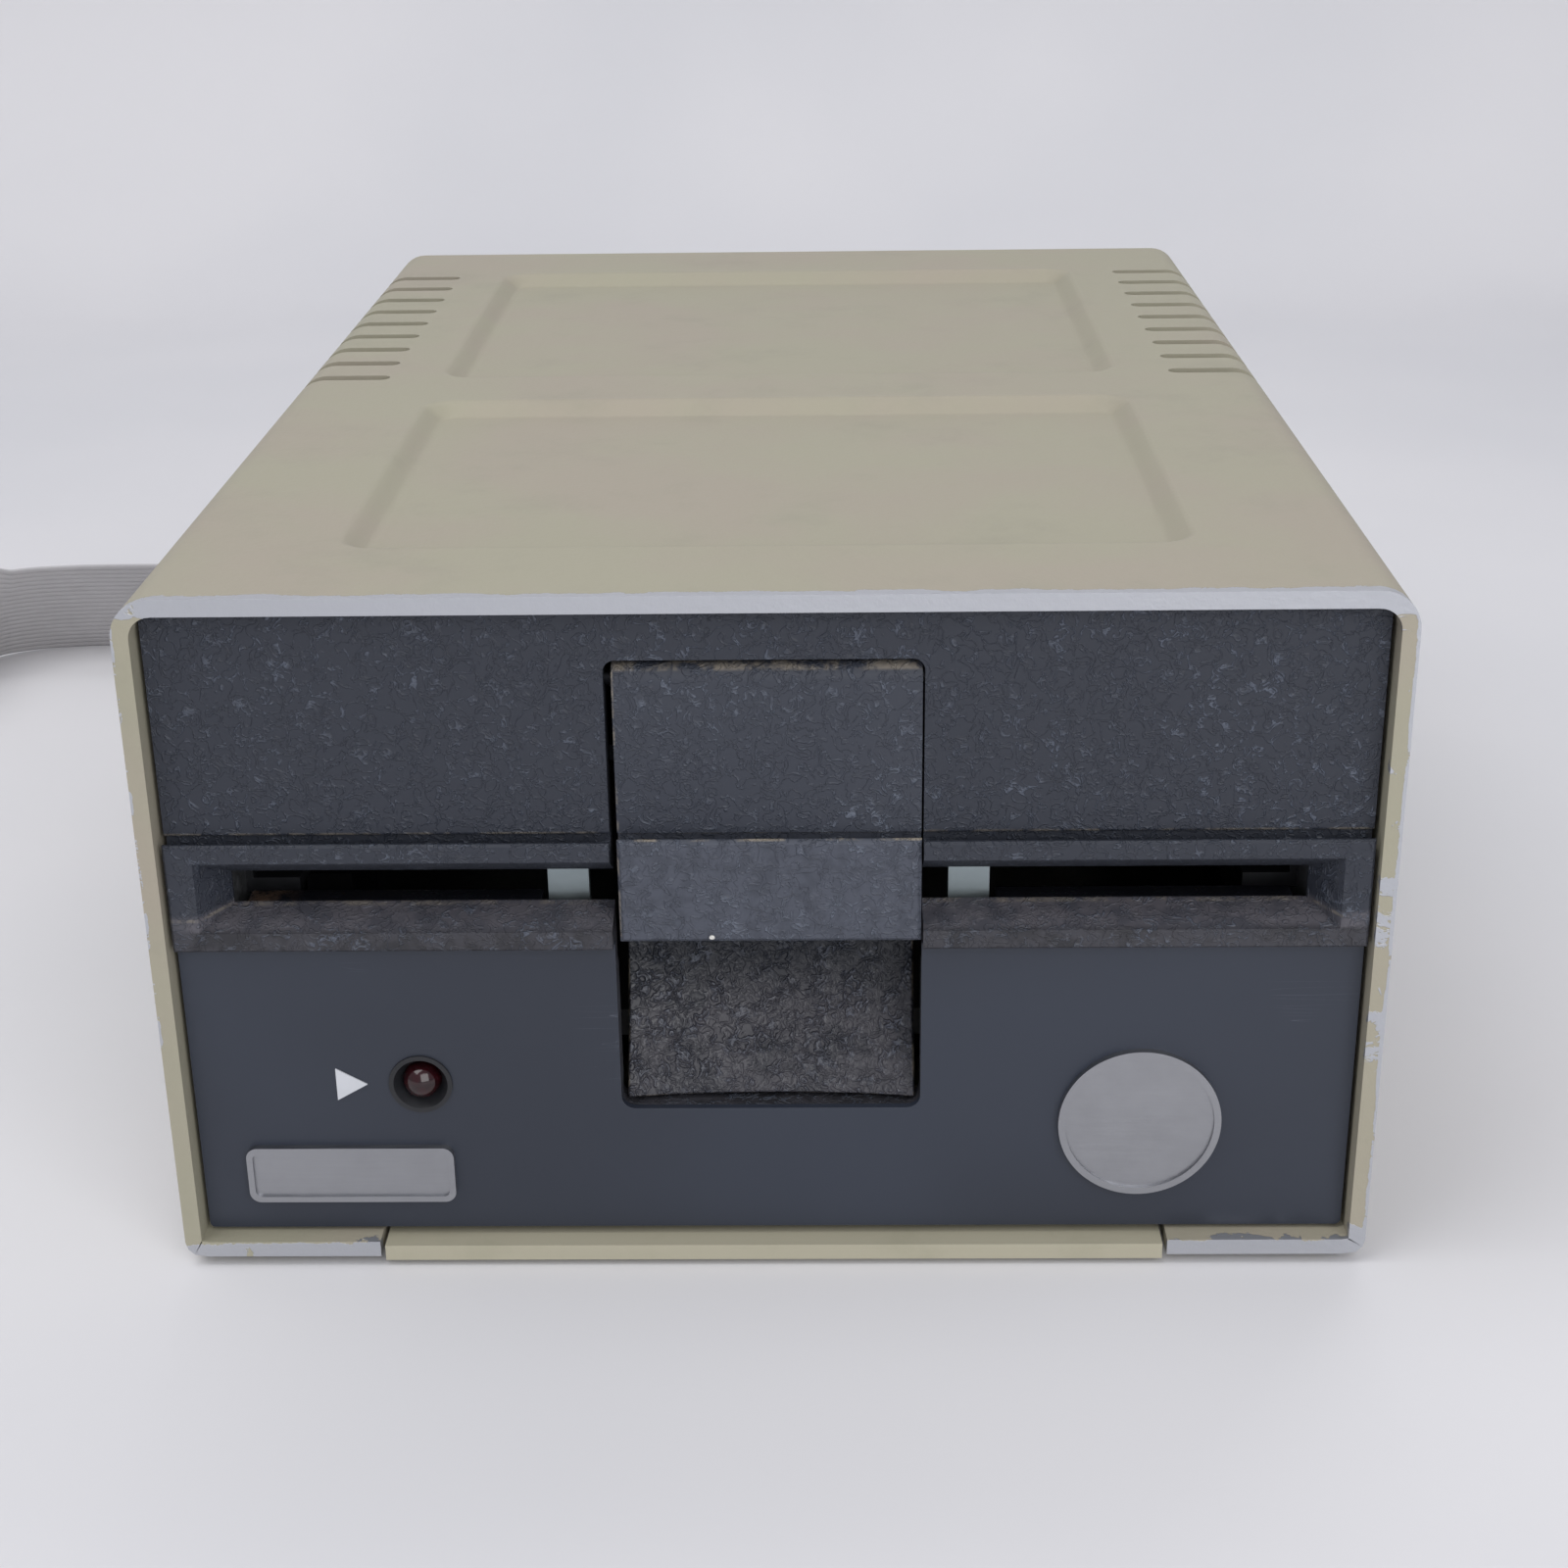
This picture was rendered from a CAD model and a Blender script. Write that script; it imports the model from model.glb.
"""Dresses an external floppy disk drive: finishes, soft-edged shells and its grey ribbon cable.

Lengths are in millimetres inside the classes and become metres where a mesh is made.
"""
from __future__ import annotations

import logging
import math
from dataclasses import dataclass, field

import bmesh
import bpy
from mathutils import Matrix, Vector

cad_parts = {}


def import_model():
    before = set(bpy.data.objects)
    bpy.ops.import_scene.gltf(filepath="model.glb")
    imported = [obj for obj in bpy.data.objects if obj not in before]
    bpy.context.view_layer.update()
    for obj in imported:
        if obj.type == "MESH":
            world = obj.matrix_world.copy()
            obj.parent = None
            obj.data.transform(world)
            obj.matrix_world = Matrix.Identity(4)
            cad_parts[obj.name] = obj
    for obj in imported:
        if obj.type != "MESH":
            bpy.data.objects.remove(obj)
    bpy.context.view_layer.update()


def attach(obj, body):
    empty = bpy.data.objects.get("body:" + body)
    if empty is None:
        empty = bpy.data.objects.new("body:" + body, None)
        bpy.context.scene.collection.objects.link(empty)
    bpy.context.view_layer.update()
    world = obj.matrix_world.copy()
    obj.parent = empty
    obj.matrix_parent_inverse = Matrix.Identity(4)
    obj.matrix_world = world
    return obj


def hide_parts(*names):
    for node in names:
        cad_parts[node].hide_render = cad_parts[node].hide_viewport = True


LOG = logging.getLogger("floppy_drive")
MM = 0.001

NodeTree = bpy.types.NodeTree
Socket = bpy.types.NodeSocket
Object = bpy.types.Object
Material = bpy.types.Material
Point = tuple[float, float, float]


# ---- Shader helpers ---------------------------------------------------------------------
def linear(code: str) -> tuple[float, float, float, float]:
    """Turn an sRGB hex colour into linear RGBA.

    Args:
        code: six hex digits after a hash sign.

    Returns:
        Linear red, green and blue, and an alpha of 1.
    """
    channels = [int(code[i:i + 2], 16) / 255.0 for i in (1, 3, 5)]
    parts = [c / 12.92 if c <= 0.04045 else ((c + 0.055) / 1.055) ** 2.4 for c in channels]
    return (parts[0], parts[1], parts[2], 1.0)


def add_node(tree: NodeTree, kind: str, settings: dict | None = None,
             inputs: dict | None = None) -> bpy.types.Node:
    """Add a shader node with its settings and inputs.

    Args:
        tree: the material's node tree.
        kind: the node's type name, such as ShaderNodeMix.
        settings: attributes of the node itself.
        inputs: sockets by name or number, each a value or another node's output.

    Returns:
        The new node.
    """
    node = tree.nodes.new(kind)
    for name, value in (settings or {}).items():
        setattr(node, name, value)
    for name, value in (inputs or {}).items():
        socket = node.inputs[name]
        if isinstance(value, bpy.types.NodeSocket):
            tree.links.new(value, socket)
        else:
            socket.default_value = value
    return node


@dataclass
class Shader:
    """One material's tree, with the few steps that every finish here is made of."""

    name: str
    material: Material = field(init=False)
    tree: NodeTree = field(init=False)
    place: Socket = field(init=False)
    bsdf: bpy.types.Node = field(init=False)

    def __post_init__(self) -> None:
        """Start the material with its surface shader and its own object coordinates."""
        self.material = bpy.data.materials.new(self.name)
        self.material.use_nodes = True
        self.tree = self.material.node_tree
        self.tree.nodes.clear()
        self.place = add_node(self.tree, "ShaderNodeTexCoord").outputs["Object"]
        self.bsdf = add_node(self.tree, "ShaderNodeBsdfPrincipled")
        out = add_node(self.tree, "ShaderNodeOutputMaterial")
        self.tree.links.new(self.bsdf.outputs[0], out.inputs["Surface"])

    def set(self, **values: object) -> None:
        """Set or link sockets of the surface shader, with underscores for spaces."""
        for name, value in values.items():
            socket = self.bsdf.inputs[name.replace("_", " ")]
            if isinstance(value, bpy.types.NodeSocket):
                self.tree.links.new(value, socket)
            else:
                socket.default_value = value

    def stretch(self, scale: Point) -> Socket:
        """Object coordinates scaled differently along each axis."""
        node = add_node(self.tree, "ShaderNodeMapping", {}, {"Vector": self.place, "Scale": scale})
        return node.outputs[0]

    def noise(self, size_mm: float, detail: float = 2.0, rough: float = 0.5,
              warp: float = 0.0, where: Socket | None = None) -> Socket:
        """Noise whose features are about size_mm across.

        Args:
            size_mm: real size of a feature.
            detail: octaves.
            rough: weight of the finer octaves.
            warp: distortion of the pattern.
            where: coordinates, if not the object's own.

        Returns:
            The noise value, about 0.5 in the middle.
        """
        node = add_node(self.tree, "ShaderNodeTexNoise", {}, {
            "Vector": where or self.place, "Scale": 1.0 / (size_mm * MM), "Detail": detail,
            "Roughness": rough, "Distortion": warp})
        return node.outputs[0]

    def cells(self, size_mm: float) -> Socket:
        """Distance to the middles of cells about size_mm across."""
        node = add_node(self.tree, "ShaderNodeTexVoronoi", {"feature": "F1"}, {
            "Vector": self.place, "Scale": 1.0 / (size_mm * MM)})
        return node.outputs["Distance"]

    def band(self, value: Socket, low: float, high: float, to_low: float = 0.0,
             to_high: float = 1.0) -> Socket:
        """Smooth step of a value from low to high."""
        node = add_node(self.tree, "ShaderNodeMapRange", {"interpolation_type": "SMOOTHSTEP"}, {
            "Value": value, "From Min": low, "From Max": high, "To Min": to_low, "To Max": to_high})
        return node.outputs[0]

    def math(self, operation: str, a: Socket | float, b: Socket | float = 0.0) -> Socket:
        """One sum of two values."""
        node = add_node(self.tree, "ShaderNodeMath", {"operation": operation}, {0: a, 1: b})
        return node.outputs[0]

    def blend(self, amount: Socket | float, a: Socket | tuple, b: Socket | tuple) -> Socket:
        """Colour between a and b."""
        node = add_node(self.tree, "ShaderNodeMix", {"data_type": "RGBA"}, {
            "Factor": amount, 6: a, 7: b})
        return node.outputs[2]

    def axis(self, letter: str) -> Socket:
        """One coordinate in metres, X, Y or Z."""
        node = add_node(self.tree, "ShaderNodeSeparateXYZ", {}, {0: self.place})
        return node.outputs[letter]

    def bump(self, height: Socket, depth_mm: float, strength: float = 1.0,
             under: Socket | None = None) -> Socket:
        """Bumped normal, with the height field worth depth_mm."""
        inputs: dict = {"Height": height, "Distance": depth_mm * MM, "Strength": strength}
        if under is not None:
            inputs["Normal"] = under
        node = add_node(self.tree, "ShaderNodeBump", {}, inputs)
        return node.outputs[0]


# ---- Finishes ----------------------------------------------------------------------------
@dataclass(frozen=True)
class WrinkleEnamel:
    """Baked textured enamel on aluminium sheet: soft stipple, dull, chipped to bare metal at the rim."""

    name: str = "textured_enamel_sprayed_aluminium"
    colour: str = "#9e9a87"
    warm: str = "#9f9788"
    shade: str = "#93907f"
    metal: str = "#b9bbc0"
    stipple_mm: float = 0.9
    rim_y: float = -109.4
    chip_mm: float = 9.0
    top_bend: tuple[float, float] = (89.6, 90.8)
    flange: tuple[float, float] = (3.0, 4.4)
    side_edge: tuple[float, float] = (76.7, 77.3)
    cream_corner: tuple[float, float] = (-74.0, -66.0)
    roughness: float = 0.62

    @staticmethod
    def over(s: Shader, place: Socket, span: tuple[float, float], start: float, end: float) -> Socket:
        """Value that eases from start to end over a span in millimetres."""
        return s.band(place, span[0] * MM, span[1] * MM, start, end)

    def build(self) -> Material:
        """Make the material."""
        s = Shader(self.name)
        cloud = s.band(s.noise(46.0, 3.0, 0.6), 0.38, 0.66)
        tint = s.blend(cloud, linear(self.colour), linear(self.warm))
        grime = s.band(s.noise(17.0, 5.0, 0.65), 0.50, 0.78, 0.0, 0.55)
        tint = s.blend(grime, tint, linear(self.shade))
        depth, height = s.axis("Y"), s.axis("Z")
        side = s.math("ABSOLUTE", s.axis("X"))
        near = s.band(depth, (self.rim_y + 0.1) * MM, (self.rim_y + 2.6) * MM, 1.0, 0.0)
        flakes = s.noise(self.chip_mm, 5.0, 0.72, 0.6)
        # The rim is worn most over its top, then under the flanges and along the outer side edges.
        bare = self.over(s, height, self.top_bend, 0.13, 0.42)
        bare = s.math("MAXIMUM", bare, self.over(s, height, self.flange, 0.34, 0.0))
        bare = s.math("MAXIMUM", bare, self.over(s, side, self.side_edge, 0.0, 0.30))
        bare = s.math("SUBTRACT", bare, self.over(s, s.axis("X"), self.cream_corner, 0.16, 0.0))
        chip = s.band(s.math("ADD", flakes, s.math("MULTIPLY", near, bare)), 0.685, 0.70)
        chip = s.math("MULTIPLY", chip, s.band(near, 0.05, 0.12))
        s.set(Base_Color=s.blend(chip, tint, linear(self.metal)))
        s.set(Metallic=s.math("MULTIPLY", chip, 0.75))
        s.set(Roughness=s.band(chip, 0.0, 1.0, self.roughness, 0.38))
        grain = s.noise(self.stipple_mm, 3.0, 0.6)
        fine = s.bump(grain, 0.10, 0.55)
        s.set(Normal=s.bump(chip, 0.12, 0.6, fine))
        return s.material


@dataclass(frozen=True)
class SmoothEnamel:
    """Smooth sprayed enamel: an even colour with faint dirt and a satin sheen."""

    name: str
    colour: str
    dirt: str
    roughness: float = 0.5

    def build(self) -> Material:
        """Make the material."""
        s = Shader(self.name)
        grime = s.band(s.noise(12.0, 5.0, 0.65), 0.45, 0.8)
        s.set(Base_Color=s.blend(grime, linear(self.colour), linear(self.dirt)))
        s.set(Roughness=s.band(s.noise(6.0, 3.0), 0.3, 0.7, self.roughness - 0.06, self.roughness + 0.06))
        s.set(Normal=s.bump(s.noise(0.7, 2.0), 0.02, 0.5))
        return s.material


@dataclass(frozen=True)
class WornLine:
    """A straight edge that hands have rubbed: a plane across one axis and how far the wear reaches."""

    axis: str
    place: float
    reach: float = 0.4
    amount: float = 1.0


@dataclass(frozen=True)
class LeatherGrainABS:
    """Moulded ABS with a leather-grain tool texture: creased, matt, rubbed to tan on its edges."""

    name: str
    colour: str = "#282c36"
    crest: str = "#5d6472"
    rubbed: str = "#837b6f"
    grain_mm: float = 1.7
    depth_mm: float = 0.24
    roughness: float = 0.55
    crests: float = 0.75
    soft: float = 0.06
    worn: tuple[WornLine, ...] = ()
    dusty: tuple[tuple[str, float, float, str], ...] = ()
    dust_mm: float = 5.0
    specks: tuple[Point, ...] = ()

    def wear(self, s: Shader) -> Socket:
        """Where the edges are rubbed, broken into dashes.

        Args:
            s: the material's shader.

        Returns:
            Amount of wear, from 0 to 1.
        """
        total: Socket | float = 0.0
        for line in self.worn:
            away = s.math("ABSOLUTE", s.math("SUBTRACT", s.axis(line.axis), line.place * MM))
            near = s.band(away, line.reach * 0.4 * MM, line.reach * MM, line.amount, 0.0)
            total = s.math("MAXIMUM", total, near)
        dashes = s.band(s.noise(4.5, 6.0, 0.7), 0.44, 0.60)
        return s.math("MULTIPLY", total, dashes)

    def speckle(self, s: Shader) -> Socket:
        """Tiny pale chips at fixed places.

        Args:
            s: the material's shader.

        Returns:
            Amount of chip, from 0 to 1.
        """
        total: Socket | float = 0.0
        for x, y, z in self.specks:
            away = add_node(s.tree, "ShaderNodeVectorMath", {"operation": "DISTANCE"},
                            {0: s.place, 1: (x * MM, y * MM, z * MM)}).outputs["Value"]
            total = s.math("MAXIMUM", total, s.band(away, 0.22 * MM, 0.42 * MM, 1.0, 0.0))
        return total

    def build(self) -> Material:
        """Make the material."""
        s = Shader(self.name)
        crease = s.noise(self.grain_mm, 3.0, 0.5, 1.1)
        ridge = s.math("ABSOLUTE", s.math("SUBTRACT", crease, 0.5))
        lines = s.band(ridge, 0.0, 0.06, 1.0, 0.0)
        sparse = s.band(s.noise(2.6, 3.0, 0.6), 0.42, 0.62)
        patch = s.band(s.noise(14.0, 3.0, 0.6), 0.34, 0.66, 0.35, 1.0)
        marks = s.math("MULTIPLY", s.math("MULTIPLY", lines, sparse), patch)
        tint: Socket | tuple = linear(self.colour)
        for axis, low, high, colour in self.dusty:
            cloud = s.band(s.noise(self.dust_mm, 5.0, 0.65), 0.38, 0.58, 0.45, 1.0)
            place = s.band(s.axis(axis), low * MM, high * MM)
            tint = s.blend(s.math("MULTIPLY", place, cloud), tint, linear(colour))
        tint = s.blend(s.math("MULTIPLY", marks, self.crests), tint, linear(self.crest))
        if self.worn:
            tint = s.blend(self.wear(s), tint, linear(self.rubbed))
        if self.specks:
            tint = s.blend(self.speckle(s), tint, linear("#e4e2dc"))
        s.set(Base_Color=tint)
        s.set(Roughness=s.band(lines, 0.0, 1.0, self.roughness + 0.05, self.roughness - 0.08))
        s.set(IOR=1.5)
        wide = s.band(ridge, 0.0, self.soft, 1.0, 0.0)
        coarse = s.bump(s.math("MULTIPLY", wide, s.band(sparse, 0.0, 1.0, 0.45, 1.0)), self.depth_mm, 0.8)
        s.set(Normal=s.bump(s.noise(0.4, 3.0, 0.6), 0.04, 0.6, coarse))
        return s.material


@dataclass(frozen=True)
class SatinPaint:
    """Satin lacquer on thin sheet: smooth, bluish black, with a few hairline scratches."""

    name: str = "satin_lacquer_sprayed_aluminium"
    colour: str = "#282d38"
    haze: str = "#353c4a"
    scratch: str = "#7c828d"

    def build(self) -> Material:
        """Make the material."""
        s = Shader(self.name)
        haze = s.band(s.noise(60.0, 2.0, 0.5), 0.3, 0.75, 0.0, 0.45)
        tint = s.blend(haze, linear(self.colour), linear(self.haze))
        streak = s.noise(2.2, 1.0, 0.4, 0.0, s.stretch((0.06, 1.0, 1.7)))
        line = s.band(s.math("ABSOLUTE", s.math("SUBTRACT", streak, 0.5)), 0.0, 0.0035, 1.0, 0.0)
        rare = s.band(s.noise(24.0, 2.0), 0.60, 0.66)
        mark = s.math("MULTIPLY", s.math("MULTIPLY", line, rare), 0.5)
        speck = s.band(s.cells(7.0), 0.035, 0.05, 0.6, 0.0)
        mark = s.math("MAXIMUM", mark, s.math("MULTIPLY", speck, s.band(s.noise(15.0), 0.62, 0.66)))
        s.set(Base_Color=s.blend(mark, tint, linear(self.scratch)))
        s.set(Roughness=s.band(s.noise(3.0, 3.0), 0.3, 0.7, 0.36, 0.44))
        s.set(IOR=1.5)
        s.set(Normal=s.bump(s.noise(0.5, 2.0), 0.008, 0.5))
        return s.material


@dataclass(frozen=True)
class Metal:
    """Bare metal with a fine worked surface: its grain runs along one axis or is even."""

    name: str
    colour: str
    roughness: float = 0.35
    grain: Point = (1.0, 1.0, 1.0)
    grain_mm: float = 0.3
    dark_above: float | None = None

    def build(self) -> Material:
        """Make the material."""
        s = Shader(self.name)
        worked = s.noise(self.grain_mm, 2.0, 0.5, 0.0, s.stretch(self.grain))
        dull = s.band(s.noise(5.0, 4.0, 0.6), 0.35, 0.7, 0.0, 0.10)
        tint = s.blend(dull, linear(self.colour), linear("#77777a"))
        if self.dark_above is not None:
            oxide = s.band(s.axis("Z"), self.dark_above * MM, (self.dark_above + 1.5) * MM)
            tint = s.blend(oxide, tint, linear("#1b1c1e"))
        s.set(Base_Color=tint)
        s.set(Metallic=1.0)
        s.set(Roughness=s.band(worked, 0.3, 0.7, self.roughness - 0.07, self.roughness + 0.07))
        s.set(Normal=s.bump(worked, 0.02, 0.4))
        return s.material


@dataclass(frozen=True)
class Moulding:
    """Plain injection-moulded plastic: an even colour with a slight orange peel."""

    name: str
    colour: str
    roughness: float = 0.45
    mottled: str | None = None
    peel_mm: float = 1.0
    zone: tuple[str, float, float, str] | None = None

    def build(self) -> Material:
        """Make the material."""
        s = Shader(self.name)
        patch = s.band(s.noise(8.0, 3.0, 0.6), 0.35, 0.75, 0.0, 0.5)
        tint = s.blend(patch, linear(self.colour), linear(self.mottled or self.colour))
        if self.zone is not None:
            axis, start, full, colour = self.zone
            stain = s.math("MULTIPLY", s.band(s.axis(axis), start * MM, full * MM),
                           s.band(s.noise(3.0, 5.0, 0.65), 0.38, 0.56))
            tint = s.blend(stain, tint, linear(colour))
        s.set(Base_Color=tint)
        s.set(Roughness=s.band(s.noise(4.0, 2.0), 0.3, 0.7, self.roughness - 0.05, self.roughness + 0.05))
        s.set(Normal=s.bump(s.noise(self.peel_mm, 2.0), 0.02, 0.5))
        return s.material


@dataclass(frozen=True)
class LampLens:
    """Clear red epoxy, cast: dark when unlit, with a bright sky in its dome."""

    name: str = "red_epoxy_cast_lamp"
    colour: str = "#2c060c"

    def build(self) -> Material:
        """Make the material."""
        s = Shader(self.name)
        core = s.band(s.noise(1.6, 2.0), 0.35, 0.65)
        s.set(Base_Color=s.blend(core, linear(self.colour), linear("#1c0407")))
        s.set(Roughness=0.16)
        s.set(IOR=1.5)
        s.set(Coat_Weight=0.3)
        s.set(Coat_Roughness=0.05)
        s.set(Normal=s.bump(s.noise(0.8, 1.0), 0.01, 0.3))
        return s.material


@dataclass(frozen=True)
class RibbonVinyl:
    """Extruded grey vinyl over side-by-side wires: soft, slightly glossy ridges along its length."""

    name: str = "grey_vinyl_extruded_ribbon"
    colour: str = "#b4b2b4"
    edge: str = "#acaaac"

    def build(self) -> Material:
        """Make the material."""
        s = Shader(self.name)
        cloud = s.band(s.noise(14.0, 3.0, 0.6), 0.35, 0.7)
        s.set(Base_Color=s.blend(cloud, linear(self.colour), linear(self.edge)))
        s.set(Roughness=s.band(s.noise(5.0), 0.3, 0.7, 0.42, 0.52))
        s.set(Normal=s.bump(s.noise(0.6, 2.0), 0.02, 0.4))
        return s.material


# ---- Mesh helpers ----------------------------------------------------------------------------
def new_piece(name: str, points: list[Point], faces: list[tuple[int, ...]], body: str,
              materials: list[Material]) -> Object:
    """Make a mesh object from points in millimetres and hang it on a body.

    Args:
        name: the piece's name.
        points: places in millimetres.
        faces: corners of each face.
        body: the body that it rides on.
        materials: its materials, the main one first.

    Returns:
        The new object.
    """
    mesh = bpy.data.meshes.new(name)
    mesh.from_pydata([tuple(c * MM for c in p) for p in points], [], faces)
    return finish_piece(name, mesh, body, materials)


def finish_piece(name: str, mesh: bpy.types.Mesh, body: str,
                 materials: list[Material]) -> Object:
    """Give a mesh its normals, materials, slot and body."""
    work = bmesh.new()
    work.from_mesh(mesh)
    bmesh.ops.recalc_face_normals(work, faces=work.faces[:])
    work.to_mesh(mesh)
    work.free()
    piece = bpy.data.objects.new(name, mesh)
    bpy.context.scene.collection.objects.link(piece)
    for material in materials:
        mesh.materials.append(material)
    mesh.polygons.foreach_set("use_smooth", [True] * len(mesh.polygons))
    mesh.set_sharp_from_angle(angle=math.radians(35.0))
    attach(piece, body)
    LOG.info("piece %s on %s", name, body)
    return piece


def bevel(piece: Object, width_mm: float, segments: int = 3, angle: float = 35.0,
          material: int = -1) -> Object:
    """Round a piece's sharp edges, with the new faces in a material slot if one is given."""
    step = piece.modifiers.new("rounded_edges", "BEVEL")
    step.width = width_mm * MM
    step.segments = segments
    step.limit_method = "ANGLE"
    step.angle_limit = math.radians(angle)
    step.harden_normals = True
    step.material = material
    step.miter_outer = "MITER_ARC"
    return piece


def apply_modifiers(piece: Object) -> Object:
    """Turn a piece's modifiers into its mesh."""
    graph = bpy.context.evaluated_depsgraph_get()
    mesh = bpy.data.meshes.new_from_object(piece.evaluated_get(graph))
    old = piece.data
    piece.modifiers.clear()
    piece.data = mesh
    bpy.data.meshes.remove(old)
    return piece


def softened(name: str, node: str, body: str, materials: list[Material],
             width_mm: float, segments: int = 3, edge_slot: int = -1,
             merge_flats: bool = True) -> Object:
    """A soft-edged copy of a construction node, which it replaces.

    Args:
        name: the new piece's name.
        node: the construction node that gives the shape.
        body: the body that it rides on.
        materials: its materials, the main one first.
        width_mm: radius of the rounded edges.
        segments: faces across each rounded edge.
        edge_slot: material slot of the rounded edges, or -1 for the main one.
        merge_flats: whether flat triangles become one face, which a thin plate with holes can't take.

    Returns:
        The new piece.
    """
    mesh = bpy.data.objects[node].data.copy()
    mesh.materials.clear()
    work = bmesh.new()
    work.from_mesh(mesh)
    bmesh.ops.remove_doubles(work, verts=work.verts[:], dist=0.002 * MM)
    if merge_flats:
        bmesh.ops.dissolve_limit(work, angle_limit=math.radians(1.0), verts=work.verts[:],
                                 edges=work.edges[:])
    work.to_mesh(mesh)
    work.free()
    mesh.polygons.foreach_set("material_index", [0] * len(mesh.polygons))
    piece = finish_piece(name, mesh, body, materials)
    rounding = bevel(piece, width_mm, segments, material=edge_slot).modifiers["rounded_edges"]
    if not merge_flats:
        rounding.harden_normals = False
        mesh.polygons.foreach_set("use_smooth", [False] * len(mesh.polygons))
    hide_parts(node)
    return piece


def arc(cx: float, cy: float, r: float, start: float, stop: float, steps: int) -> list[tuple[float, float]]:
    """Points on an arc, with angles in degrees."""
    angles = [math.radians(start + (stop - start) * i / steps) for i in range(steps + 1)]
    return [(cx + r * math.cos(a), cy + r * math.sin(a)) for a in angles]


def smoothstep(value: float) -> float:
    """Ease from 0 to 1."""
    t = min(1.0, max(0.0, value))
    return t * t * (3.0 - 2.0 * t)


# ---- Sub-assemblies --------------------------------------------------------------------------
@dataclass
class Studio:
    """Pale floor and backdrop, soft lamps and the camera."""

    camera_at: Point = (7.8, -382.7, 182.7)
    yaw: float = -1.149
    pitch: float = 22.637
    roll: float = -0.789
    lens: float = 56.16
    floor_half: float = 2200.0
    wall_y: float = 640.0

    def camera(self) -> None:
        """Place the camera."""
        yaw, pitch, roll = (math.radians(a) for a in (self.yaw, self.pitch, self.roll))
        ahead = Vector((math.sin(yaw) * math.cos(pitch), math.cos(yaw) * math.cos(pitch),
                        -math.sin(pitch)))
        right = ahead.cross(Vector((0, 0, 1))).normalized()
        up = right.cross(ahead)
        right_rolled = right * math.cos(roll) + up * math.sin(roll)
        up_rolled = up * math.cos(roll) - right * math.sin(roll)
        data = bpy.data.cameras.new("camera")
        data.lens = self.lens
        data.sensor_width = 36.0
        data.clip_start = 0.01
        camera = bpy.data.objects.new("camera", data)
        bpy.context.scene.collection.objects.link(camera)
        turn = Matrix((right_rolled, up_rolled, -ahead)).transposed()
        camera.matrix_world = Matrix.Translation(Vector(self.camera_at) * MM) @ turn.to_4x4()
        bpy.context.scene.camera = camera

    def backdrop_material(self) -> Material:
        """Pale paper that shows near white to the camera and in gloss."""
        s = Shader("pale_backdrop_paper")
        cloud = s.band(s.noise(240.0, 3.0), 0.3, 0.7)
        s.set(Base_Color=s.blend(cloud, linear("#d4d4d7"), linear("#dcdbdd")))
        s.set(Roughness=0.9)
        s.set(Normal=s.bump(s.noise(1.6, 2.0), 0.05, 0.3))
        return s.material

    def floor(self) -> None:
        """Floor that sweeps up into the backdrop."""
        half = self.floor_half
        bend = 160.0
        profile = [(-half, 0.0), (self.wall_y - bend, 0.0)]
        profile += [(self.wall_y - bend + bend * math.sin(a), bend - bend * math.cos(a))
                    for a in (math.radians(5.0 * i) for i in range(1, 19))]
        profile += [(self.wall_y, 1800.0)]
        points = [(x, y, z) for x in (-half, half) for y, z in profile]
        n = len(profile)
        mesh = bpy.data.meshes.new("floor")
        faces = [(i, i + 1, n + i + 1, n + i) for i in range(n - 1)]
        mesh.from_pydata([tuple(c * MM for c in p) for p in points], [], faces)
        mesh.polygons.foreach_set("use_smooth", [True] * len(mesh.polygons))
        mesh.materials.append(self.backdrop_material())
        floor = bpy.data.objects.new("floor", mesh)
        bpy.context.scene.collection.objects.link(floor)

    def lamp(self, name: str, at: Point, size: float, power: float) -> None:
        """Square soft lamp that looks at the drive."""
        data = bpy.data.lights.new(name, "AREA")
        data.size = size * MM
        data.energy = power
        lamp = bpy.data.objects.new(name, data)
        bpy.context.scene.collection.objects.link(lamp)
        lamp.location = Vector(at) * MM
        aim = Vector((0, 0, 40.0)) * MM - lamp.location
        lamp.rotation_euler = aim.to_track_quat("-Z", "Y").to_euler()

    def light(self) -> None:
        """Even sky and three soft lamps."""
        world = bpy.data.worlds.new("soft_sky")
        world.use_nodes = True
        tree = world.node_tree
        sky = tree.nodes["Background"]
        sky.inputs["Color"].default_value = linear("#f2f4ff")
        sky.inputs["Strength"].default_value = 0.39
        bpy.context.scene.world = world
        self.lamp("key_lamp", (-500.0, -300.0, 1150.0), 900.0, 7.4)
        self.lamp("fill_lamp", (350.0, -950.0, 520.0), 900.0, 7.0)
        self.lamp("rear_lamp", (200.0, 700.0, 900.0), 700.0, 4.0)

    def build(self) -> None:
        """Make the stage."""
        bpy.context.scene.view_settings.view_transform = "Standard"
        self.camera()
        self.floor()
        self.light()


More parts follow.
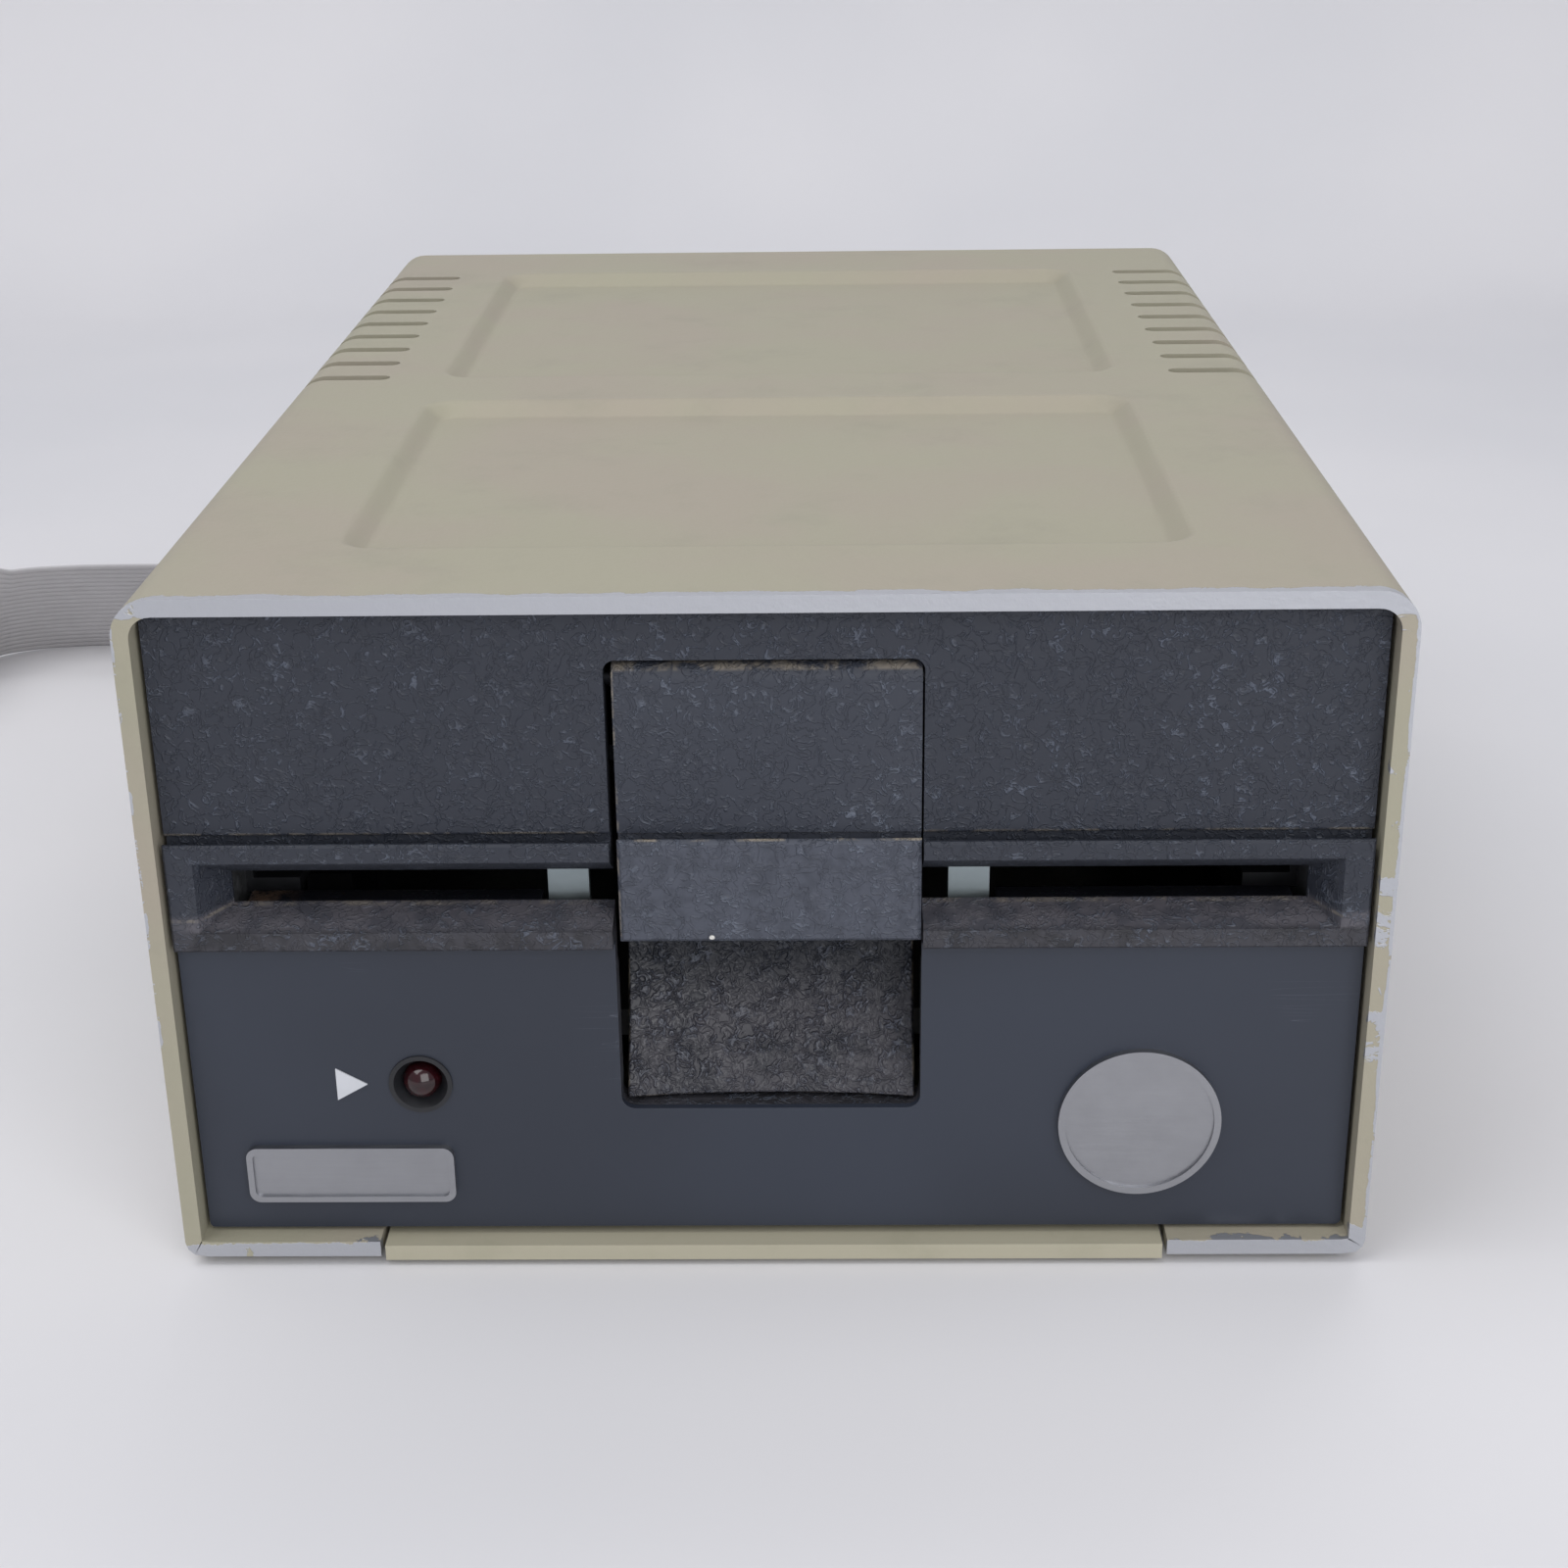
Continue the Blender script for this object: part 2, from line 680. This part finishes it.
@dataclass
class RibbonCable:
    """Flat 20-way ribbon: out of the rear, down to the surface, round to the left and coiled."""

    width: float = 25.4
    thick: float = 1.0
    ways: int = 20
    exit_at: Point = (-50.0, 101.0, 20.6)
    lean: float = 28.0
    route: tuple[Point, ...] = (
        (-50.0, 109.4, 20.6),
        (-50.0, 128.0, 12.7),
        (-59.0, 136.5, 12.4),
        (-78.0, 137.4, 11.6),
        (-108.0, 132.4, 11.3),
        (-140.0, 134.6, 11.3),
        (-165.0, 133.4, 11.4),
        (-177.0, 126.5, 11.8),
        (-180.5, 110.0, 12.7),
    )
    coil_start: tuple[float, float] = (-180.5, 94.0)
    inner_r: float = 32.0
    pitch: float = 10.0
    turns: int = 3
    steps: int = 16
    length: float = 1100.0

    def coil(self) -> list[Point]:
        """Control points of the coil's turns and of its tail into the socket."""
        outer = self.inner_r + self.turns * self.pitch
        cx = self.coil_start[0] - outer
        cy = self.coil_start[1]
        z = self.width / 2
        points: list[Point] = []
        for i in range(self.turns * self.steps + 1):
            a = -2 * math.pi * i / self.steps
            r = outer - self.pitch * i / self.steps
            points.append((cx + r * math.cos(a), cy + r * math.sin(a), z))
        for angle, r in ((-24.0, 29.5), (-48.0, 26.8)):
            a = math.radians(angle)
            points.append((cx + r * math.cos(a), cy + r * math.sin(a), z))
        points += [(cx + 10.5, cy - 23.2, z + 0.6), (cx + 5.5, cy - 23.2, z + 1.3)]
        return points

    def centreline(self) -> list[Vector]:
        """Points read from the route's smooth spline, in millimetres."""
        control = [self.exit_at, *self.route, *self.coil()]
        data = bpy.data.curves.new("ribbon_route", "CURVE")
        data.dimensions = "3D"
        data.resolution_u = 10
        spline = data.splines.new("NURBS")
        spline.points.add(len(control) - 1)
        for point, place in zip(spline.points, control):
            point.co = (*place, 1.0)
        spline.order_u = 3
        spline.use_endpoint_u = True
        holder = bpy.data.objects.new("ribbon_route", data)
        bpy.context.scene.collection.objects.link(holder)
        graph = bpy.context.evaluated_depsgraph_get()
        mesh = bpy.data.meshes.new_from_object(holder.evaluated_get(graph))
        line = [v.co.copy() for v in mesh.vertices]
        bpy.data.meshes.remove(mesh)
        bpy.data.objects.remove(holder)
        bpy.data.curves.remove(data)
        return line

    def section(self) -> list[tuple[float, float]]:
        """Ridged outline: distance across the ribbon and height off its middle."""
        step = self.width / self.ways
        side = []
        for i in range(self.ways):
            for part, rise in ((0.0, 0.62), (0.25, 0.92), (0.5, 1.0), (0.75, 0.92)):
                side.append((-self.width / 2 + step * (i + part), self.thick / 2 * rise))
        side[0] = (-self.width / 2, self.thick / 4)
        side.append((self.width / 2, self.thick / 4))
        return side + [(u, -v) for u, v in reversed(side)]

    def lean_at(self, p: Vector) -> float:
        """How far the ribbon leans back at a place, in radians."""
        settle = smoothstep((-p.x - 62.0) / 26.0) * smoothstep((p.x + 181.5) / 8.0)
        return math.radians(self.lean) * settle if p.y > 118.0 else 0.0

    def build(self, finish: Material) -> Object:
        line = self.centreline()
        section = self.section()
        n = len(section)
        points: list[Point] = []
        for i, p in enumerate(line):
            ahead = (line[min(i + 1, len(line) - 1)] - line[max(i - 1, 0)]).normalized()
            flat = Vector((ahead.y, -ahead.x, 0.0)).normalized()
            lean = self.lean_at(p)
            across = Vector((0, 0, 1)) * math.cos(lean) - flat * math.sin(lean)
            out = flat * math.cos(lean) + Vector((0, 0, 1)) * math.sin(lean)
            for u, v in section:
                q = p + across * u + out * v
                points.append((q.x, q.y, max(q.z, 0.0)))
        faces: list[tuple[int, ...]] = []
        for i in range(len(line) - 1):
            for j in range(n):
                k = (j + 1) % n
                faces.append((i * n + j, i * n + k, (i + 1) * n + k, (i + 1) * n + j))
        faces += [tuple(range(n)), tuple(range(len(line) * n - 1, (len(line) - 1) * n - 1, -1))]
        piece = new_piece("grey_ribbon_cable", points, faces, "drive_body", [finish])
        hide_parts("ribbon_cable", "ribbon_coil")
        run = sum((b - a).length for a, b in zip(line, line[1:]))
        LOG.info("ribbon cable: %d points, %.1f mm long", len(line), run)
        return piece


@dataclass
class Cover:
    """Folded and pressed sheet cover: one skin over the top and both sides, with wall thickness."""

    half_w: float = 77.5
    half_d: float = 109.4
    top: float = 92.7
    low: float = 1.5
    sheet: float = 2.2
    corner: float = 5.0
    flange_gap: float = 103.4
    panel_x: float = 54.0
    panels: tuple[tuple[float, float], ...] = ((-89.4, -12.4), (3.0, 89.0))
    panel_deep: float = 2.1
    panel_slope: float = 3.0
    panel_r: float = 5.0
    vents: int = 9
    vent_y: float = 3.3
    vent_pitch: float = 10.25
    vent_w: float = 3.0
    vent_x: float = 62.2
    vent_low: float = 77.7
    step: float = 1.5

    def pressed(self, x: float, y: float) -> float:
        """Depth of the pressed panels at a place on the top."""
        best = 0.0
        for y0, y1 in self.panels:
            cx, cy = abs(x), abs(y - (y0 + y1) / 2)
            ax = self.panel_x - self.panel_r
            ay = (y1 - y0) / 2 - self.panel_r
            dx, dy = cx - ax, cy - ay
            outside = math.hypot(max(dx, 0.0), max(dy, 0.0)) + min(max(dx, dy), 0.0)
            inward = self.panel_r - outside
            ramp = min(1.0, max(0.0, inward / self.panel_slope))
            best = max(best, 0.7 * ramp + 0.3 * smoothstep(ramp))
        return best * self.panel_deep

    def stations(self, low: float, high: float, edges: list[float]) -> list[float]:
        """Rows of the grid: coarse, and fine beside each pressed edge."""
        rows = {round(low, 3), round(high, 3)}
        n = int((high - low) / 6.0)
        rows |= {round(low + (high - low) * i / n, 3) for i in range(n)}
        for edge in edges:
            for i in range(-2, 13):
                place = round(edge + i * 0.5, 3)
                if low < place < high:
                    rows.add(place)
        ordered = sorted(rows)
        kept = [ordered[0]]
        for place in ordered[1:]:
            if place - kept[-1] > 0.3:
                kept.append(place)
        kept[-1] = ordered[-1]
        return kept

    def profile(self) -> list[tuple[float, float, bool]]:
        """Outer skin in XZ from the left flange to the right one, each with whether it is on top."""
        r = self.corner
        flange = self.flange_gap / 2
        flat_x = self.half_w - r
        tops = self.stations(-flat_x, flat_x, [-self.panel_x, self.panel_x - 5.0])
        left = [(-flange, self.low), (-self.half_w + 3.0, self.low)]
        left += arc(-self.half_w + 2.2, self.low + 2.2, 2.2, 270, 180, 3)[1:]
        left += [(-self.half_w, z) for z in (22.0, 40.0, 60.0, 78.0)]
        left += arc(-flat_x, self.top - r, r, 180, 90, 8)
        right = [(-x, z) for x, z in reversed(left)]
        top = [(x, self.top) for x in tops if abs(x) < flat_x - 0.05]
        return ([(x, z, False) for x, z in left] + [(x, z, True) for x, z in top]
                + [(x, z, False) for x, z in right])

    def skin(self, enamel: Material, bare: Material) -> Object:
        """Grid of the outer skin, thickened inwards."""
        outline = self.profile()
        rows = self.stations(-self.half_d, self.half_d,
                             [y - (5.0 if i else 0.0) for pair in self.panels for i, y in enumerate(pair)])
        points: list[Point] = []
        for y in rows:
            for x, z, flat in outline:
                points.append((x, y, z - (self.pressed(x, y) if flat else 0.0)))
        n = len(outline)
        faces = [(i * n + j, i * n + j + 1, (i + 1) * n + j + 1, (i + 1) * n + j)
                 for i in range(len(rows) - 1) for j in range(n - 1)]
        piece = new_piece("textured_cover", points, faces, "drive_body", [enamel, bare])
        wall = piece.modifiers.new("sheet", "SOLIDIFY")
        wall.thickness = self.sheet * MM
        wall.offset = -1.0
        wall.use_even_offset = True
        return apply_modifiers(piece)

    def cutter(self) -> Object:
        """Round-ended slots that run over both top edges."""
        work = bmesh.new()
        for side in (-1, 1):
            for i in range(self.vents):
                y = self.vent_y + i * self.vent_pitch
                r = self.vent_w / 2
                out = self.half_w + 2.0
                loop = [(out, y + r)] + arc(self.vent_x + r, y, r, 90, 270, 8) + [(out, y - r)]
                low = [work.verts.new((side * x * MM, yy * MM, self.vent_low * MM)) for x, yy in loop]
                high = [work.verts.new((side * x * MM, yy * MM, (self.top + 3) * MM)) for x, yy in loop]
                work.faces.new(low)
                work.faces.new(list(reversed(high)))
                for a in range(len(loop)):
                    b = (a + 1) % len(loop)
                    work.faces.new((low[a], high[a], high[b], low[b]))
        bmesh.ops.recalc_face_normals(work, faces=work.faces[:])
        mesh = bpy.data.meshes.new("vent_cutter")
        work.to_mesh(mesh)
        work.free()
        cutter = bpy.data.objects.new("vent_cutter", mesh)
        bpy.context.scene.collection.objects.link(cutter)
        return cutter

    def build(self, enamel: Material, bare: Material) -> Object:
        """Make the cover with its vents and its softened rims."""
        piece = self.skin(enamel, bare)
        cutter = self.cutter()
        cut = piece.modifiers.new("vents", "BOOLEAN")
        cut.operation = "DIFFERENCE"
        cut.solver = "EXACT"
        cut.object = cutter
        apply_modifiers(piece)
        bpy.data.objects.remove(cutter)
        bevel(piece, 0.45, 2, 50.0)
        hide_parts("outer_cover")
        return piece


@dataclass
class Scoop:
    """Dished pan behind the door's lower edge: it runs back as it rises and is hollow across."""

    half_w: float = 18.7
    low: float = 22.4
    high: float = 45.3
    front: float = -104.0
    back: float = -95.4
    hollow: float = 2.0
    thick: float = 1.2
    columns: int = 28
    rows: int = 26

    def depth(self, across: float, rise: float) -> float:
        """Distance back at a place, both measured from 0 to 1."""
        run = self.front + (self.back - self.front) * math.sin(rise * math.pi / 2) ** 1.15
        bowl = (1.0 - across ** 2) ** 0.8 * math.sin(math.pi * min(1.0, 0.12 + rise * 0.95)) ** 0.7
        return run + self.hollow * bowl

    def build(self, finish: Material) -> Object:
        """Make the pan as a curved sheet."""
        points: list[Point] = []
        for j in range(self.rows + 1):
            v = j / self.rows
            for i in range(self.columns + 1):
                u = 2.0 * i / self.columns - 1.0
                points.append((u * self.half_w, self.depth(u, v), self.low + (self.high - self.low) * v))
        n = self.columns + 1
        faces = [(j * n + i, j * n + i + 1, (j + 1) * n + i + 1, (j + 1) * n + i)
                 for j in range(self.rows) for i in range(self.columns)]
        piece = new_piece("dished_scoop", points, faces, "drive_body", [finish])
        sheet = piece.modifiers.new("sheet", "SOLIDIFY")
        sheet.thickness = self.thick * MM
        sheet.offset = 1.0
        apply_modifiers(piece)
        bevel(piece, 0.25, 2, 50.0)
        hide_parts("finger_scoop")
        return piece


def front_pieces(paint: dict[str, Material]) -> None:
    """Soft-edged front mouldings."""
    softened("moulded_bezel", "front_bezel", "drive_body", [paint["bezel"]], 0.35)
    softened("smooth_slot_guides", "slot_guides", "drive_body", [paint["guide"]], 0.3)
    softened("painted_faceplate", "lower_faceplate", "drive_body",
             [paint["face"], paint["face_edge"]], 0.2, 2, 1, False)
    softened("hinged_door", "lever_door", "door", [paint["door"]], 0.45)
    Scoop().build(paint["scoop"])


# Construction nodes that are shown as they are, by finish.
NODE_FINISH = {
    "base": ["base_plate", "rear_panel"],
    "screw": ["base_screws", "rear_panel_screws", "cable_clamp_screws", "bezel_screws",
              "motor_screws", "board_screws"],
    "rubber": ["rubber_feet", "drive_belt"],
    "black": ["cable_clamp", "lamp_collar", "ribbon_connector", "connector_strain_relief",
              "cable_header", "clamp_collet", "left_disk_rail", "right_disk_rail"],
    "lens": ["activity_lamp"],
    "print": ["pointer_mark"],
    "badge": ["nameplate", "roundel"],
    "blackened": ["door_hinge_pin"],
    "steel": ["guide_rods", "follower_pin", "pad_arm_pin", "spindle_bearings",
              "clamp_arm_pivots", "collet_spring", "write_protect_lever"],
    "cast": ["chassis", "spindle_pulley", "spindle_hub", "collet_retainer"],
    "zinc": ["clamp_arm"],
    "motor": ["spindle_motor", "stepper_motor"],
    "brass": ["motor_pulley", "board_standoffs"],
    "white": ["spiral_cam", "head_carriage", "pad_arm"],
    "ceramic": ["read_write_head"],
    "felt": ["pressure_pad"],
    "board": ["logic_board", "motor_control_board"],
    "parts": ["board_chips", "board_parts", "control_board_parts", "write_protect_switch"],
    "ribbon": ["inner_ribbon"],
}


def dress_nodes(paint: dict[str, Material], groups: dict[str, list[str]]) -> None:
    """Give carried-over nodes their finish."""
    for finish, names in groups.items():
        for name in names:
            node = bpy.data.objects[name]
            if not node.material_slots:
                node.data.materials.append(paint[finish])
            for slot in node.material_slots:
                slot.material = paint[finish]


def grained_plastics() -> dict[str, Material]:
    """Textured ABS of the bezel, door and scoop: matt creases that catch thin light crests."""
    bezel = LeatherGrainABS(
        "bezel_leather_grain_moulded_abs",
        dusty=(("Z", 51.2, 50.2, "#535157"), ("Z", 48.9, 48.3, "#26262b")),
        worn=(WornLine("Z", 61.0, 0.45, 0.55), WornLine("Z", 50.2, 0.3, 0.5)))
    door = LeatherGrainABS(
        "door_leather_grain_moulded_abs", "#31353f", "#656c79", dust_mm=2.0,
        dusty=(("Z", 60.9, 60.4, "#454954"),),
        worn=(WornLine("Z", 82.7, 0.7, 0.8), WornLine("Z", 60.8, 0.28, 0.9),
              WornLine("X", -18.4, 0.28, 0.8)),
        specks=((-6.94, -108.5, 47.6),))
    scoop = LeatherGrainABS(
        "scoop_coarse_leather_grain_moulded_abs", "#12161f", "#4c5260", grain_mm=1.5, depth_mm=0.3,
        roughness=0.42, crests=0.6, soft=0.16, dusty=(("Z", 40.5, 31.0, "#37363c"),),
        worn=(WornLine("X", -18.6, 0.34), WornLine("X", 18.6, 0.34), WornLine("Z", 22.4, 0.7)),
        specks=((2.9, -98.6, 36.4),))
    return {"bezel": bezel.build(), "door": door.build(), "scoop": scoop.build()}


def enamels() -> dict[str, Material]:
    """Sprayed and printed surfaces: the dull case, its cream base and the satin faceplate."""
    return {
        "cover": WrinkleEnamel().build(),
        "base": SmoothEnamel("cream_enamel_sprayed_base", "#aba692", "#a19d88").build(),
        "face": SatinPaint().build(),
        "face_edge": SmoothEnamel("chipped_lacquer_on_sheet_edge", "#5c6068", "#8c857a", 0.42).build(),
        "print": Moulding("white_ink_screen_print", "#c9cbd0", 0.6, "#b5b8bd", 0.5).build(),
    }


def metals() -> dict[str, Material]:
    """Bare metals: their grain direction and dullness tell castings, turned and rolled parts apart."""
    even, around = (1.0, 1.0, 1.0), (1.0, 1.0, 0.1)
    return {
        "cut_edge": Metal("sheet_edge_cut_aluminium", "#b9bac2", 0.34).build(),
        "blackened": Metal("steel_blackened_pin", "#16171a", 0.5).build(),
        "badge": Metal("satin_aluminium_brushed_badge", "#a3a4a8", 0.38, (0.04, 1.0, 1.0)).build(),
        "cast": Metal("aluminium_die_cast", "#a3a5a8", 0.5, even, 1.1).build(),
        "steel": Metal("steel_ground", "#b4b6ba", 0.22, (1.0, 1.0, 0.15), 0.25).build(),
        "screw": Metal("steel_zinc_plated_screw", "#a9abb0", 0.3).build(),
        "zinc": Metal("steel_sheet_zinc_plated", "#a2adb0", 0.46, (0.2, 1.0, 1.0), 1.5, 57.0).build(),
        "motor": Metal("steel_drawn_motor_can", "#8f9195", 0.36, around, 0.4).build(),
        "brass": Metal("brass_turned", "#c5a45b", 0.28, around, 0.3).build(),
    }


def plain_mouldings() -> dict[str, Material]:
    """Smooth plastics, rubber and the like: even colours that differ in gloss."""
    guide = Moulding("guide_polished_moulded_nylon", "#15161b", 0.24, "#1b1c22",
                     zone=("X", -59.0, -64.0, "#4a3c33"))
    return {
        "guide": guide.build(),
        "ribbon": RibbonVinyl().build(),
        "lens": LampLens().build(),
        "black": Moulding("black_moulded_nylon", "#1c1d20", 0.42, "#26272b").build(),
        "white": Moulding("ivory_moulded_nylon", "#cfc9b5", 0.45, "#c2bba4").build(),
        "rubber": Moulding("black_rubber_moulded", "#161617", 0.75, "#202021", 0.6).build(),
        "ceramic": Moulding("ferrite_ceramic_lapped", "#2b2a2d", 0.2, "#343236", 0.6).build(),
        "felt": Moulding("grey_felt_pressed", "#8c8c88", 0.95, "#74746f", 0.25).build(),
        "board": Moulding("green_solder_mask_glass_epoxy", "#1f5a38", 0.35, "#256741", 0.5).build(),
        "parts": Moulding("black_epoxy_moulded_parts", "#222326", 0.5, "#2d2e31", 0.8).build(),
    }


def mix_paints() -> dict[str, Material]:
    """Make every finish, by the short name that pieces and nodes use for it."""
    return {**grained_plastics(), **enamels(), **metals(), **plain_mouldings()}


def main() -> None:
    """Build every sub-assembly and dress every node."""
    logging.basicConfig(level=logging.INFO, format="%(name)s: %(message)s")
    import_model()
    Studio().build()
    paint = mix_paints()
    RibbonCable().build(paint["ribbon"])
    Cover().build(paint["cover"], paint["cut_edge"])
    front_pieces(paint)
    dress_nodes(paint, NODE_FINISH)


if __name__ == "__main__":
    main()
